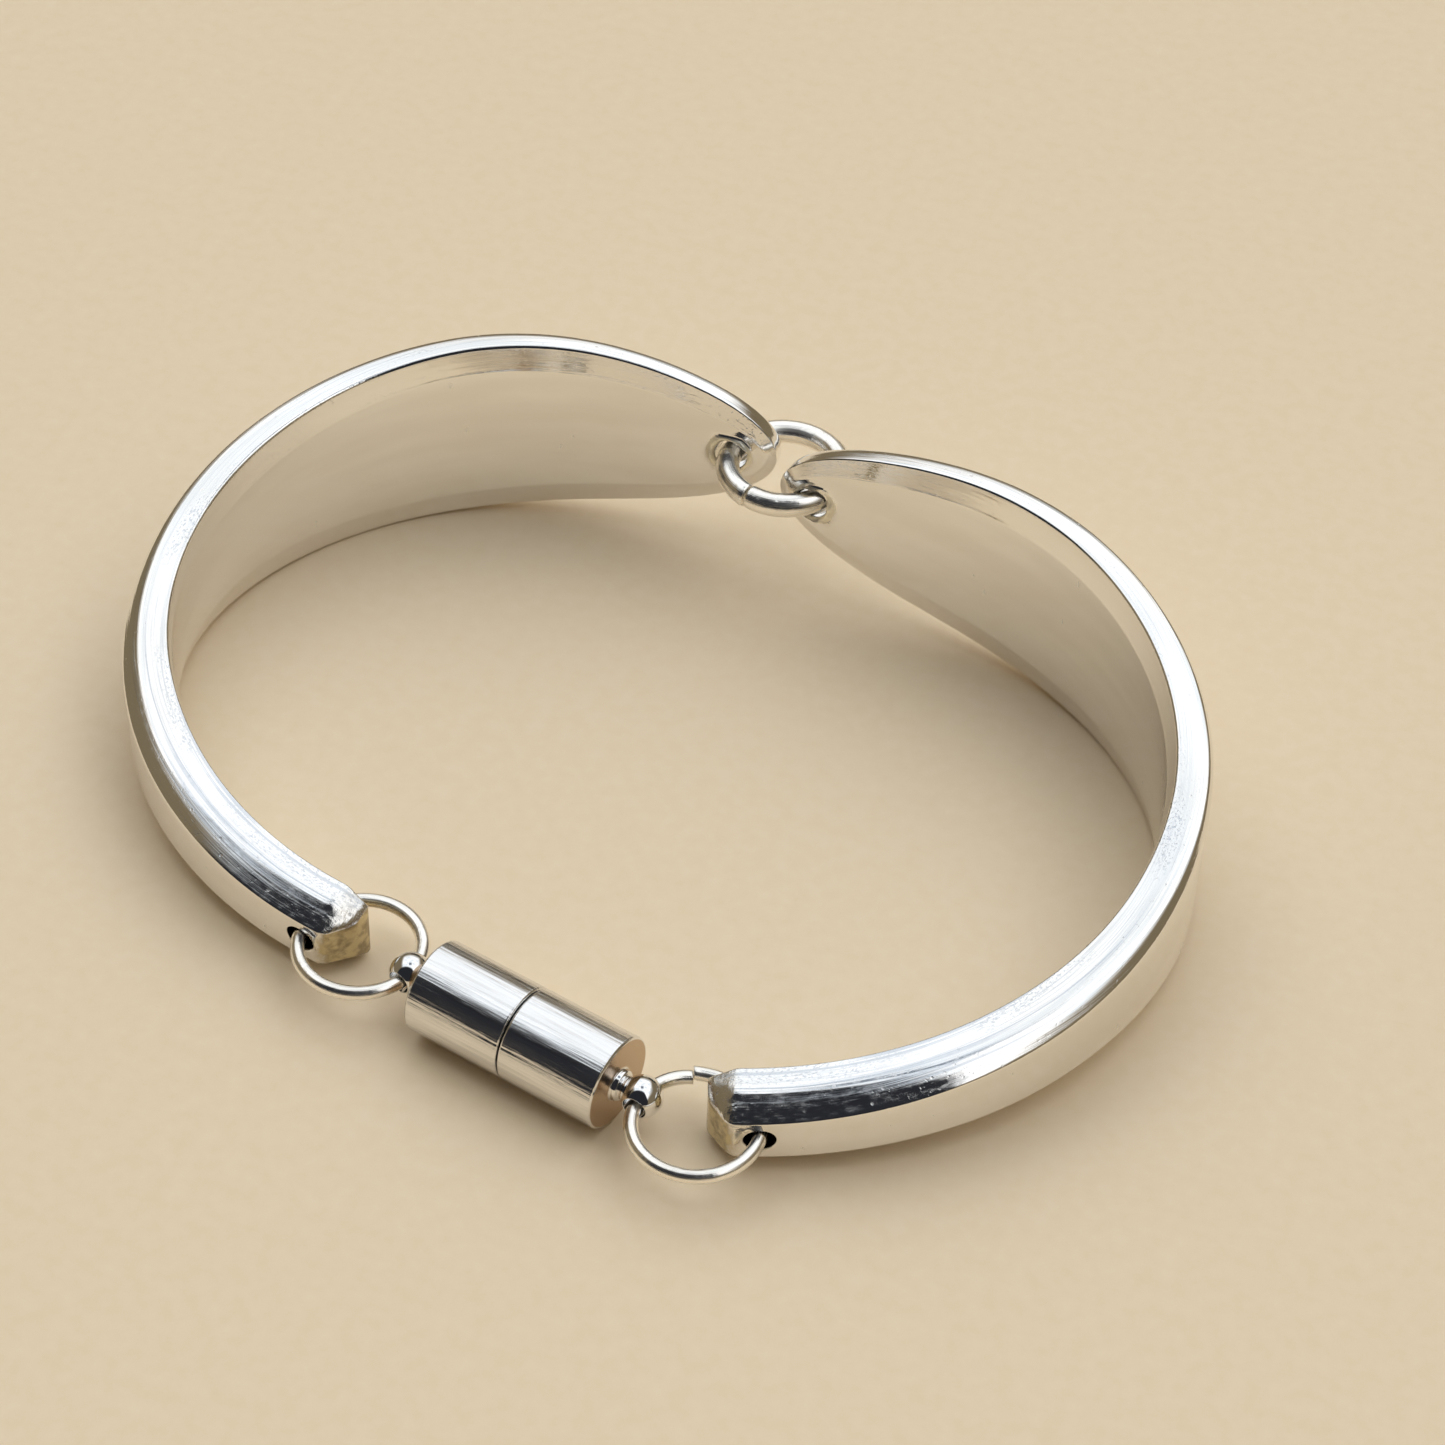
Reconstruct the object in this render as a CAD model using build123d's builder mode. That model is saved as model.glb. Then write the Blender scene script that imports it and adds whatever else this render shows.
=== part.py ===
"""Spoon handle bracelet, in millimetres, lying on its side on a table.

Two spoon handles are bent to the wrist and stand on their long edges. One
heavy ring joins their wide tips at the back. At the front, a thin jump ring
through each narrow end holds one half of a magnetic barrel clasp. X runs
across, Y from the clasp to the back ring, and Z up from the table.
"""
import math
import os

from build123d import *

os.makedirs("parts", exist_ok=True)

# Handle sizes
HANDLE_LENGTH = 77.0  # along the inner face
NARROW_WIDTH = 4.9  # height of the narrow front end
WIDE_WIDTH = 14.2  # height where the handle is widest
NARROW_THICKNESS = 3.55
TIP_THICKNESS = 1.8
TIP_ROUNDING = 21.5  # length of the rounded tip
BEVEL_RUN = 1.5  # corners of the outer face at the front end, into the thickness
BEVEL_FALL = 1.05  # and down the face
EDGE_BEVEL = 0.5  # the same corners on the wide part, both ways
INNER_CORNER = 0.1  # corners of the inner face at the front end
INNER_BORDER = 1.8  # sloping border of the inner face on the wide part
BORDER_DEPTH = 0.42  # how far the border slopes back
END_GRINDING = 1.6  # length of the ground facets at the front end
END_RELIEF = 0.4  # what they take off the inner face, clear of the jump ring
END_BEVEL = 0.9  # what they take off the outer face
END_CORNER = 0.5  # what they take off the top and bottom edges

# How each handle bends, in degrees for each seventh of its length
LEFT_TURNS = (26.8, 24.0, 36.5, 29.7, 28.2, 28.3, 4.2)
RIGHT_TURNS = (25.1, 23.7, 29.2, 33.0, 27.6, 25.9, -0.2)

# Handle sections from the ground end to the rounded tip, as shares:
# along of HANDLE_LENGTH, width of the way from NARROW_WIDTH to WIDE_WIDTH,
# border and bevel of the way from the front end's corners to the wide part's
SECTIONS = (
    # along, width, border, bevel
    (0.11, 0.04, 0.00, 0.10),
    (0.20, 0.06, 0.05, 0.50),
    (0.29, 0.14, 0.15, 0.50),
    (0.38, 0.32, 0.50, 0.70),
    (0.47, 0.58, 1.00, 1.00),
    (0.56, 0.79, 1.00, 1.00),
    (0.64, 0.93, 1.00, 1.00),
)
# How the thickness tapers, as shares: along of HANDLE_LENGTH, taper of the
# way from NARROW_THICKNESS to TIP_THICKNESS
TAPER = (
    # along, taper
    (0.00, 0.00),
    (0.22, 0.03),
    (0.33, 0.27),
    (0.47, 0.45),
    (1.00, 1.00),
)
BODY_STEPS = 12  # lofted sections from the ground end to the rounded tip
TIP_STEPS = (18.0, 36.0, 52.0, 66.0, 77.0, 84.0)  # degrees round the tip
REST_SHARE = 0.64  # where the wide part touches the table

# Back ring
BACK_WIRE = 1.6
BACK_RING_RADIUS = 3.8  # to the middle of the wire
BACK_HOLE_INSET = 3.0  # from the tip
BACK_HOLE_CLEARANCE = 0.25
BACK_RING_CUT = 0.3
BACK_RING_CUT_ANGLE = -110.0
LEFT_HANG_ANGLE = 164.0  # where each half hangs on the ring
RIGHT_HANG_ANGLE = -27.5

# Jump rings
JUMP_WIRE = 0.9
JUMP_RING_RADIUS = 3.8  # to the middle of the wire
JUMP_HOLE_INSET = 3.0  # from the narrow end
JUMP_HOLE_CLEARANCE = 0.27
JUMP_HOLE_DROP = 0.12  # the ring's wire passes the hole above its middle
JUMP_RING_CUT = 0.2
LEFT_CUT_ANGLE = 134.0  # from the clasp's axis
RIGHT_CUT_ANGLE = 126.0
LEFT_LINK_ANGLE = -5.0  # from the clasp's axis to the handle's hole
RIGHT_LINK_ANGLE = 47.0

# Magnetic clasp
BARREL_DIAMETER = 6.0
BARREL_LENGTH = 13.5
BARREL_CHAMFER = 0.12
SEAM_GAP = 0.1
NECK_DIAMETER = 2.0
BALL_DIAMETER = 2.6
BALL_REACH = 1.7  # from the barrel's end to the middle of the ball
BALL_HOLE_CLEARANCE = 0.17

# How the loop lies: direction from the left half's back hole to its front hole
LEFT_AIM = -105.0


def turned(x, y, degrees):
    """A plan vector turned anticlockwise."""
    c = math.cos(math.radians(degrees))
    s = math.sin(math.radians(degrees))
    return (c * x - s * y, s * x + c * y)


def meeting_point(a, from_a, b, from_b):
    """The point at two given distances from a and b, right of the way from a to b."""
    dx = b[0] - a[0]
    dy = b[1] - a[1]
    apart = math.hypot(dx, dy)
    along = (from_a**2 - from_b**2 + apart**2) / (2 * apart)
    side = math.sqrt(from_a**2 - along**2)
    x = a[0] + (along * dx + side * dy) / apart
    y = a[1] + (along * dy - side * dx) / apart
    return (x, y)


def between_rows(rows, share):
    """The columns after along, straight between the rows and level after the last."""
    for low, high in zip(rows, rows[1:]):
        if share <= high[0]:
            step = (share - low[0]) / (high[0] - low[0])
            return [a + step * (b - a) for a, b in zip(low[1:], high[1:])]
    return list(rows[-1][1:])


def row_at(share):
    """Width, border and bevel shares, whole from the start of the rounded tip."""
    start = (0.0, 0.0, 0.0, 0.0)
    end = (1 - TIP_ROUNDING / HANDLE_LENGTH, 1.0, 1.0, 1.0)
    return between_rows((start,) + SECTIONS + (end,), share)


def width_at(share):
    """Height of the handle before its rounded tip."""
    return NARROW_WIDTH + row_at(share)[0] * (WIDE_WIDTH - NARROW_WIDTH)


def height_at(share):
    """Height of the middle line: the narrow end and the wide part rest on the table."""
    low = NARROW_WIDTH / 2
    high = width_at(REST_SHARE) / 2
    return low + share / REST_SHARE * (high - low)


def thickness_at(share):
    """Thickness of the handle, full at the narrow end."""
    return NARROW_THICKNESS + between_rows(TAPER, share)[0] * (TIP_THICKNESS - NARROW_THICKNESS)


def bend_at(turns, share):
    """Point and heading on the inner face of a handle that bends left from (0, 0)."""
    arc = HANDLE_LENGTH / len(turns)
    left_over = share * HANDLE_LENGTH
    x, y, heading = 0.0, 0.0, 0.0
    for turn in turns:
        step = min(left_over, arc)
        half_bend = math.radians(turn * step / arc / 2)
        chord = step
        if half_bend:
            chord = step * math.sin(half_bend) / half_bend
        x += chord * math.cos(math.radians(heading) + half_bend)
        y += chord * math.sin(math.radians(heading) + half_bend)
        heading += math.degrees(2 * half_bend)
        left_over -= step
    return x, y, heading


class Half:
    """Plan of one handle. side is 1 for the right half, -1 for the mirrored left one."""

    def __init__(self, turns, side):
        self.turns = turns
        self.side = side
        self.turn = 0.0
        self.shift = (0.0, 0.0)

    def point(self, share, outward=0.0):
        """Plan point at a share of the length, outward from the inner face."""
        x, y, heading = bend_at(self.turns, share)
        x += outward * math.sin(math.radians(heading))
        y -= outward * math.cos(math.radians(heading))
        x, y = turned(x * self.side, y, self.turn)
        return (x + self.shift[0], y + self.shift[1])

    def middle(self, share):
        """Plan point halfway through the thickness."""
        return self.point(share, thickness_at(share) / 2)

    def plane(self, share):
        """Upright plane across the handle: its x runs outward, its z to the tip."""
        heading = math.radians(bend_at(self.turns, share)[2])
        along = turned(math.cos(heading) * self.side, math.sin(heading), self.turn)
        outward = turned(math.sin(heading) * self.side, -math.cos(heading), self.turn)
        x, y = self.point(share)
        return Plane(
            origin=(x, y, height_at(share)),
            x_dir=(outward[0], outward[1], 0),
            z_dir=(along[0], along[1], 0),
        )

    def reach(self):
        """From the back hole to the front hole."""
        return math.dist(self.middle(BACK_HOLE), self.middle(FRONT_HOLE))

    def lay(self, back, front):
        """Turn and move the half until its two holes are at back and front."""
        start = self.middle(BACK_HOLE)
        end = self.middle(FRONT_HOLE)
        now = math.atan2(end[1] - start[1], end[0] - start[0])
        wanted = math.atan2(front[1] - back[1], front[0] - back[0])
        self.turn = math.degrees(wanted - now)
        start = turned(start[0], start[1], self.turn)
        self.shift = (back[0] - start[0], back[1] - start[1])


# Holes, as shares of the handle's length
BACK_HOLE = 1 - BACK_HOLE_INSET / HANDLE_LENGTH
FRONT_HOLE = JUMP_HOLE_INSET / HANDLE_LENGTH

# The clasp between its two jump rings, measured from its middle along its axis
ball_at = BARREL_LENGTH / 2 + BALL_REACH
ring_at = ball_at + JUMP_RING_RADIUS
link = turned(JUMP_RING_RADIUS, 0, RIGHT_LINK_ANGLE)
right_link = (ring_at + link[0], link[1])
link = turned(-JUMP_RING_RADIUS, 0, LEFT_LINK_ANGLE)
left_link = (-ring_at + link[0], link[1])

# The loop closes: back ring at (0, 0), then the left half, the clasp and the right half
left_half = Half(LEFT_TURNS, -1)
right_half = Half(RIGHT_TURNS, 1)
left_back = turned(BACK_RING_RADIUS, 0, LEFT_HANG_ANGLE)
right_back = turned(BACK_RING_RADIUS, 0, RIGHT_HANG_ANGLE)
way = turned(left_half.reach(), 0, LEFT_AIM)
left_front = (left_back[0] + way[0], left_back[1] + way[1])
span = math.dist(left_link, right_link)
right_front = meeting_point(left_front, span, right_back, right_half.reach())
left_half.lay(left_back, left_front)
right_half.lay(right_back, right_front)
slope = math.atan2(right_front[1] - left_front[1], right_front[0] - left_front[0])
lean = math.atan2(right_link[1] - left_link[1], right_link[0] - left_link[0])
clasp_turn = math.degrees(slope - lean)
way = turned(left_link[0], left_link[1], clasp_turn)
clasp_at = (left_front[0] - way[0], left_front[1] - way[1])
back_height = height_at(BACK_HOLE)
clasp_height = BARREL_DIAMETER / 2


def along_clasp(distance):
    """Plan point on the clasp's axis, from its middle."""
    x, y = turned(distance, 0, clasp_turn)
    return (clasp_at[0] + x, clasp_at[1] + y)


def section(half, share, width, border, bevel):
    """Upright section: a strip with bevelled outer corners and a sloping inner border."""
    thick = thickness_at(share)
    run = min(BEVEL_RUN + bevel * (EDGE_BEVEL - BEVEL_RUN), 0.4 * thick)
    fall = min(BEVEL_FALL + bevel * (EDGE_BEVEL - BEVEL_FALL), 0.3 * width)
    rim = min(INNER_CORNER + border * (INNER_BORDER - INNER_CORNER), 0.3 * width)
    depth = min(INNER_CORNER + border * (BORDER_DEPTH - INNER_CORNER), 0.3 * thick)
    top = width / 2
    with BuildSketch(half.plane(share)) as outline:
        with BuildLine():
            Polyline(
                (0, rim - top),
                (depth, -top),
                (thick - run, -top),
                (thick, fall - top),
                (thick, top - fall),
                (thick - run, top),
                (depth, top),
                (0, top - rim),
                close=True,
            )
        make_face()
    return outline.sketch


def ground_end(half):
    """The small end face inside the ground facets."""
    low = END_CORNER - NARROW_WIDTH / 2
    high = NARROW_WIDTH / 2 - END_CORNER
    outer = NARROW_THICKNESS - END_BEVEL
    with BuildSketch(half.plane(0)) as outline:
        with BuildLine():
            Polyline(
                (END_RELIEF, low + INNER_CORNER),
                (END_RELIEF + INNER_CORNER, low),
                (outer - BEVEL_RUN, low),
                (outer, low + BEVEL_FALL),
                (outer, high - BEVEL_FALL),
                (outer - BEVEL_RUN, high),
                (END_RELIEF + INNER_CORNER, high),
                (END_RELIEF, high - INNER_CORNER),
                close=True,
            )
        make_face()
    return outline.sketch


def handle_sections(half):
    """Every section from the ground facets to the end of the rounded tip."""
    first = END_GRINDING / HANDLE_LENGTH
    last = 1 - TIP_ROUNDING / HANDLE_LENGTH
    faces = []
    for k in range(BODY_STEPS + 1):
        share = first + (last - first) * k / BODY_STEPS
        faces.append(section(half, share, width_at(share), *row_at(share)[1:]))
    for step in TIP_STEPS:
        back = TIP_ROUNDING * (1 - math.sin(math.radians(step)))
        width = WIDE_WIDTH * math.cos(math.radians(step))
        faces.append(section(half, 1 - back / HANDLE_LENGTH, width, 1.0, 1.0))
    return faces


def wire_span(radius, wire, depth):
    """Inner and outer radius that a ring's wire sweeps inside a hole of some depth."""
    inner = math.sqrt((radius - wire / 2) ** 2 - (depth / 2) ** 2)
    return inner, radius + wire / 2


def ring_drill(half, share, centre, height, radius, wire, clearance):
    """A drill through a handle along the wire of the ring that hangs in it."""
    at = half.middle(share)
    out_x = (at[0] - centre[0]) / radius
    out_y = (at[1] - centre[1]) / radius
    face = half.plane(share).x_dir
    straight = abs(face.Y * out_x - face.X * out_y)
    skew = math.sqrt(1 - straight**2) / straight
    depth = thickness_at(share) / straight + wire * skew
    inner, outer = wire_span(radius, wire, depth)
    middle = (inner + outer) / 2
    place = Plane(
        origin=(centre[0] + middle * out_x, centre[1] + middle * out_y, height),
        x_dir=(0, 0, 1),
        z_dir=(-out_y, out_x, 0),
    )
    with BuildPart(place) as drill:
        Cylinder((outer - inner) / 2 + clearance, 3 * depth)
    return drill.part


def cut_ring(centre, height, radius, wire, cut, angle):
    """A round wire ring, level, with the fine cut where it was closed."""
    with BuildPart() as ring:
        with Locations((centre[0], centre[1], height)):
            Torus(radius, wire / 2)
        x, y = turned(radius, 0, angle)
        with Locations(Location((centre[0] + x, centre[1] + y, height), (0, 0, angle))):
            Box(2 * wire, cut, 2 * wire, mode=Mode.SUBTRACT)
    return ring.part


def clasp_half(side):
    """Barrel, neck and cross-drilled ball on one side of the seam."""
    reach = BARREL_LENGTH / 2 - SEAM_GAP / 2
    start = along_clasp(side * SEAM_GAP / 2)
    axis = turned(side, 0, clasp_turn)
    seam = Plane(
        origin=(start[0], start[1], clasp_height),
        x_dir=(0, 0, 1),
        z_dir=(axis[0], axis[1], 0),
    )
    upright = (Align.CENTER, Align.CENTER, Align.MIN)
    inner, outer = wire_span(JUMP_RING_RADIUS, JUMP_WIRE, BALL_DIAMETER)
    drill_at = reach + BALL_REACH + JUMP_RING_RADIUS - (inner + outer) / 2
    with BuildPart(seam) as half:
        Cylinder(BARREL_DIAMETER / 2, reach, align=upright)
        chamfer(half.edges().filter_by(GeomType.CIRCLE), BARREL_CHAMFER)
        Cylinder(NECK_DIAMETER / 2, reach + BALL_REACH, align=upright)
        with Locations((0, 0, reach + BALL_REACH)):
            Sphere(BALL_DIAMETER / 2)
        with Locations(Location((0, 0, drill_at), (90, 0, 0))):
            Cylinder((outer - inner) / 2 + BALL_HOLE_CLEARANCE, 2 * BALL_DIAMETER, mode=Mode.SUBTRACT)
    return half.part


def handle(half, ring_centre):
    """One bent handle with its ground end and its two holes."""
    faces = handle_sections(half)
    back = ring_drill(
        half, BACK_HOLE, (0, 0), back_height, BACK_RING_RADIUS, BACK_WIRE, BACK_HOLE_CLEARANCE
    )
    low = clasp_height - JUMP_HOLE_DROP
    front = ring_drill(
        half, FRONT_HOLE, ring_centre, low, JUMP_RING_RADIUS, JUMP_WIRE, JUMP_HOLE_CLEARANCE
    )
    with BuildPart() as bent:
        loft(sections=faces)
        loft(sections=[ground_end(half), faces[0]], ruled=True)
        add(back, mode=Mode.SUBTRACT)
        add(front, mode=Mode.SUBTRACT)
    return bent.part


left_ring_at = along_clasp(-ring_at)
right_ring_at = along_clasp(ring_at)

# Left handle
with BuildPart() as handle_left:
    add(handle(left_half, left_ring_at))

# Right handle
with BuildPart() as handle_right:
    add(handle(right_half, right_ring_at))

# Back ring
with BuildPart() as back_ring:
    add(cut_ring((0, 0), back_height, BACK_RING_RADIUS, BACK_WIRE, BACK_RING_CUT, BACK_RING_CUT_ANGLE))

# Left jump ring
left_cut = clasp_turn + LEFT_CUT_ANGLE
with BuildPart() as jump_ring_left:
    add(cut_ring(left_ring_at, clasp_height, JUMP_RING_RADIUS, JUMP_WIRE, JUMP_RING_CUT, left_cut))

# Right jump ring
right_cut = clasp_turn + RIGHT_CUT_ANGLE
with BuildPart() as jump_ring_right:
    add(cut_ring(right_ring_at, clasp_height, JUMP_RING_RADIUS, JUMP_WIRE, JUMP_RING_CUT, right_cut))

# Left half of the clasp
with BuildPart() as clasp_half_left:
    add(clasp_half(-1))

# Right half of the clasp
with BuildPart() as clasp_half_right:
    add(clasp_half(1))

# The bracelet's middle goes to the origin and its lowest point to the table
NODES = {
    "handle_left": handle_left.part,
    "handle_right": handle_right.part,
    "back_ring": back_ring.part,
    "jump_ring_left": jump_ring_left.part,
    "jump_ring_right": jump_ring_right.part,
    "clasp_half_left": clasp_half_left.part,
    "clasp_half_right": clasp_half_right.part,
}
boxes = [solid.bounding_box() for solid in NODES.values()]
middle_x = (min(box.min.X for box in boxes) + max(box.max.X for box in boxes)) / 2
middle_y = (min(box.min.Y for box in boxes) + max(box.max.Y for box in boxes)) / 2
floor = min(box.min.Z for box in boxes)
for name, solid in NODES.items():
    piece = solid.moved(Location((-middle_x, -middle_y, -floor)))
    piece.label = name
    export_step(piece, f"parts/{name}.step")

print("back ring axis", round(-middle_x, 4), round(-middle_y, 4), "height", round(back_height - floor, 4))
print("clasp", round(clasp_at[0] - middle_x, 4), round(clasp_at[1] - middle_y, 4))
print("clasp turned", round(clasp_turn, 3))
print("halves turned", round(left_half.turn, 3), round(right_half.turn, 3), "overall floor", round(floor, 4))
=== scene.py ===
# %% [markdown]
# # A bracelet of two spoon handles
#
# Two spoon handles are bent round the wrist, joined at their wide tips by one
# heavy ring and closed at their narrow ends by two jump rings and a magnetic
# barrel clasp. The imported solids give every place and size. This lesson gives
# them their rounded edges, their polished and pitted metal, and a studio.

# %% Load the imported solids
import math

import bpy
import numpy as np
from mathutils import Matrix, Vector


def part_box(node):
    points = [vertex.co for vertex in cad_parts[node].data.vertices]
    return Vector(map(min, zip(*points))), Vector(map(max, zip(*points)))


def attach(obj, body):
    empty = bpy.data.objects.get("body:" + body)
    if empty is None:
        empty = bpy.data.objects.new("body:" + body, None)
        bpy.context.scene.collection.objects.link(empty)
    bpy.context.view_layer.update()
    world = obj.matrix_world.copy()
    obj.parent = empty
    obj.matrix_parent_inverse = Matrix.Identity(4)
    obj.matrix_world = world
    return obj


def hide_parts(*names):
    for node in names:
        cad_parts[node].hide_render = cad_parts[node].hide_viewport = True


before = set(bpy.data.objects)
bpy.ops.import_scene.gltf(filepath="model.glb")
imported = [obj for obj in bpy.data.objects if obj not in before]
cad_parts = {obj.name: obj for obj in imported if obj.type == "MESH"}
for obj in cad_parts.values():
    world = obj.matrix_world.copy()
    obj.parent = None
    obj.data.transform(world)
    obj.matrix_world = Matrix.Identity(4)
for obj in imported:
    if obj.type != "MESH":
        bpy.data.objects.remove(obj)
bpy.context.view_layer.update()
print("solids", sorted(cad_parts))

# %% [markdown]
# ## The camera
#
# The photograph looks down on the bracelet at 44.5 degrees from a quarter of a
# metre away, turned a little to the right of the clasp's side. It is not quite
# level, so the camera is rolled by two degrees. A camera can be placed by
# dragging it about, but measured angles give the same view each run.

# %% Place the camera
LOOK_AT = Vector((0.00196, 0.00946, 0.0))  # a point inside the loop, in metres
CAMERA_DISTANCE = 0.24716
CAMERA_HEIGHT = math.radians(44.5)
CAMERA_SIDE = math.radians(17.7)
CAMERA_ROLL = math.radians(2.07)
FOCAL_LENGTH = 93.8  # in millimetres

camera = bpy.data.objects.new("camera", bpy.data.cameras.new("camera"))
camera.data.lens = FOCAL_LENGTH
camera.data.clip_start = 0.01
camera.matrix_world = (
    Matrix.Translation(LOOK_AT)
    @ Matrix.Rotation(CAMERA_SIDE, 4, "Z")
    @ Matrix.Rotation(math.pi / 2 - CAMERA_HEIGHT, 4, "X")
    @ Matrix.Translation((0, 0, CAMERA_DISTANCE))
    @ Matrix.Rotation(CAMERA_ROLL, 4, "Z")
)
bpy.context.scene.collection.objects.link(camera)
bpy.context.scene.camera = camera
bpy.context.scene.view_settings.view_transform = "Standard"
print("camera at", [round(v, 4) for v in camera.matrix_world.translation])

# %% [markdown]
# ## Colours and nodes
#
# Colours are written as the hex values that a colour picker shows, and the
# renderer wants linear light, so one function turns them. Every material here
# is a small net of nodes, and one function adds a node with its settings and
# its links, which keeps each net readable as a list.

# %% Turn a hex colour to linear light
def linear(hex_colour):
    """Red, green, blue and alpha in linear light: the sRGB curve undone on each channel."""
    srgb = np.array([int(hex_colour[k:k + 2], 16) for k in (1, 3, 5)]) / 255
    light = np.where(srgb <= 0.04045, srgb / 12.92, ((srgb + 0.055) / 1.055) ** 2.4)
    return (*light.tolist(), 1.0)


# %% Add a node with its settings and links
def add_node(tree, kind, settings=None, **inputs):
    """One node of a kind. Settings are its properties. Inputs are values, sockets, or nodes
    whose first output in use feeds it, and _0 names an input by its number."""
    node = tree.nodes.new("ShaderNode" + kind)
    for name, value in (settings or {}).items():
        setattr(node, name, value)
    for name, value in inputs.items():
        key = int(name[1:]) if name[0] == "_" else name.replace("_", " ")
        if isinstance(value, bpy.types.Node):
            value = next(socket for socket in value.outputs if socket.enabled)
        if isinstance(value, bpy.types.NodeSocket):
            tree.links.new(value, node.inputs[key])
        else:
            node.inputs[key].default_value = value
    return node


# %% Settings and inputs that many nodes share
SOFT = {"interpolation_type": "SMOOTHSTEP"}  # a smooth step between two values
COLOUR = {"data_type": "RGBA"}  # one colour over another
DOT = {"operation": "DOT_PRODUCT"}  # the share of one direction along another
ADD, TAKE, TIMES = {"operation": "ADD"}, {"operation": "SUBTRACT"}, {"operation": "MULTIPLY"}
MOST, SIZE = {"operation": "MAXIMUM"}, {"operation": "ABSOLUTE"}
TIMES_ADD = {"operation": "MULTIPLY_ADD"}  # the first times the second, plus the third
FALLING = {"To_Min": 1.0, "To_Max": 0.0}  # a step from one down to nothing


# %% Start a material
def empty_material(name):
    """A material whose net is empty, ready for its nodes."""
    material = bpy.data.materials.new(name)
    material.use_nodes = True
    material.node_tree.nodes.clear()
    return material, material.node_tree


# %% [markdown]
# ## The studio
#
# Polished metal shows its room more than itself. Here everything above the
# bracelet is bright, a dark card stands round the lens, and a warm dusky band
# lies low behind. The slopes that face the lens turn dark, and the dark ends
# at the card's upright edge on the right. Lamps could not draw this, so the
# sky does: each part is a smooth step on the direction.

# %% Directions of the room
UP = Vector((0, 0, 1))
TOWARD_LENS = Vector((math.sin(CAMERA_SIDE), -math.cos(CAMERA_SIDE), 0))
RIGHT_OF_LENS = Vector((math.cos(CAMERA_SIDE), math.sin(CAMERA_SIDE), 0))


def way(azimuth, elevation):
    """A direction: azimuth in degrees to the right of the lens, elevation above the floor."""
    a, e = math.radians(azimuth), math.radians(elevation)
    level = TOWARD_LENS * math.cos(a) + RIGHT_OF_LENS * math.sin(a)
    return level * math.cos(e) + UP * math.sin(e)


# %% Paint the sky above a dusky band
SKY_LIGHT = 1.28
FLOOR_LIGHT = 2.85  # the same sky as the matte floor receives it
SKY_COLOUR, SKY_SHADE = linear("#FFFFFF"), linear("#DDE4EA")
DUSK_COLOUR = linear("#6B604C")
DUSK_ENDS = math.sin(math.radians(14)), math.sin(math.radians(40))

world = bpy.data.worlds.new("studio")
world.use_nodes = True
bpy.context.scene.world = world
net = world.node_tree
net.nodes.clear()
direction = add_node(net, "TexCoord").outputs["Generated"]
height = add_node(net, "VectorMath", DOT, _0=direction, _1=UP)
clouds = add_node(net, "TexNoise", Vector=direction, Scale=3.5, Detail=3.0)
clouds = add_node(net, "MapRange", SOFT, Value=clouds, From_Min=0.42, From_Max=0.66)
sky = add_node(net, "Mix", COLOUR, Factor=clouds, _6=SKY_COLOUR, _7=SKY_SHADE)
# The dusk stands higher on both sides of the bracelet than behind it
rightward = add_node(net, "VectorMath", DOT, _0=direction, _1=way(90, 0))
on_right = add_node(net, "MapRange", SOFT, Value=rightward, From_Min=0.40, From_Max=0.75, To_Max=0.28)
on_left = add_node(
    net, "MapRange", SOFT, Value=rightward, From_Min=-0.75, From_Max=-0.35, To_Min=0.42, To_Max=0.0,
)
raised = add_node(net, "Math", ADD, _0=on_right, _1=on_left)
above_dusk = add_node(net, "Math", TAKE, _0=height, _1=raised)
above_dusk = add_node(
    net, "MapRange", SOFT, Value=above_dusk, From_Min=DUSK_ENDS[0], From_Max=DUSK_ENDS[1],
)
room = add_node(net, "Mix", COLOUR, Factor=above_dusk, _6=DUSK_COLOUR, _7=sky)

# %% The dark card round the lens
CARD_COLOUR = linear("#222327")
CARD_MIDDLE = way(-20, 25)
CARD_REACH = math.cos(math.radians(56)), math.cos(math.radians(49))
CARD_EDGE = 34  # degrees to the right of the lens
on_card = add_node(net, "VectorMath", DOT, _0=direction, _1=CARD_MIDDLE)
on_card = add_node(net, "MapRange", SOFT, Value=on_card, From_Min=CARD_REACH[0], From_Max=CARD_REACH[1])
left_of_edge = add_node(net, "VectorMath", DOT, _0=direction, _1=way(CARD_EDGE - 90, 0))
left_of_edge = add_node(net, "MapRange", SOFT, Value=left_of_edge, From_Min=-0.01, From_Max=0.02)
card = add_node(net, "Math", TIMES, _0=on_card, _1=left_of_edge)
room = add_node(net, "Mix", COLOUR, Factor=card, _6=room, _7=CARD_COLOUR)

# %% A small grey patch overhead, a little beyond the bracelet
PATCH_COLOUR = linear("#6E757F")
PATCH_AWAY = 0.13
PATCH_SIDE = {"From_Min": 0.09, "From_Max": 0.13, **FALLING}  # its soft sides, from the middle out
sideways = add_node(net, "Math", SIZE, _0=rightward)
across_patch = add_node(net, "MapRange", SOFT, Value=sideways, **PATCH_SIDE)
away = add_node(net, "VectorMath", DOT, _0=direction, _1=way(180, 0))
away = add_node(net, "Math", SIZE, _0=add_node(net, "Math", TAKE, _0=away, _1=PATCH_AWAY))
along_patch = add_node(net, "MapRange", SOFT, Value=away, **PATCH_SIDE)
overhead = add_node(net, "MapRange", SOFT, Value=height, From_Min=0.0, From_Max=0.1)
patch = add_node(net, "Math", TIMES, _0=across_patch, _1=along_patch)
patch = add_node(net, "Math", TIMES, _0=patch, _1=overhead)
room = add_node(net, "Mix", COLOUR, Factor=patch, _6=room, _7=PATCH_COLOUR)

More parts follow.
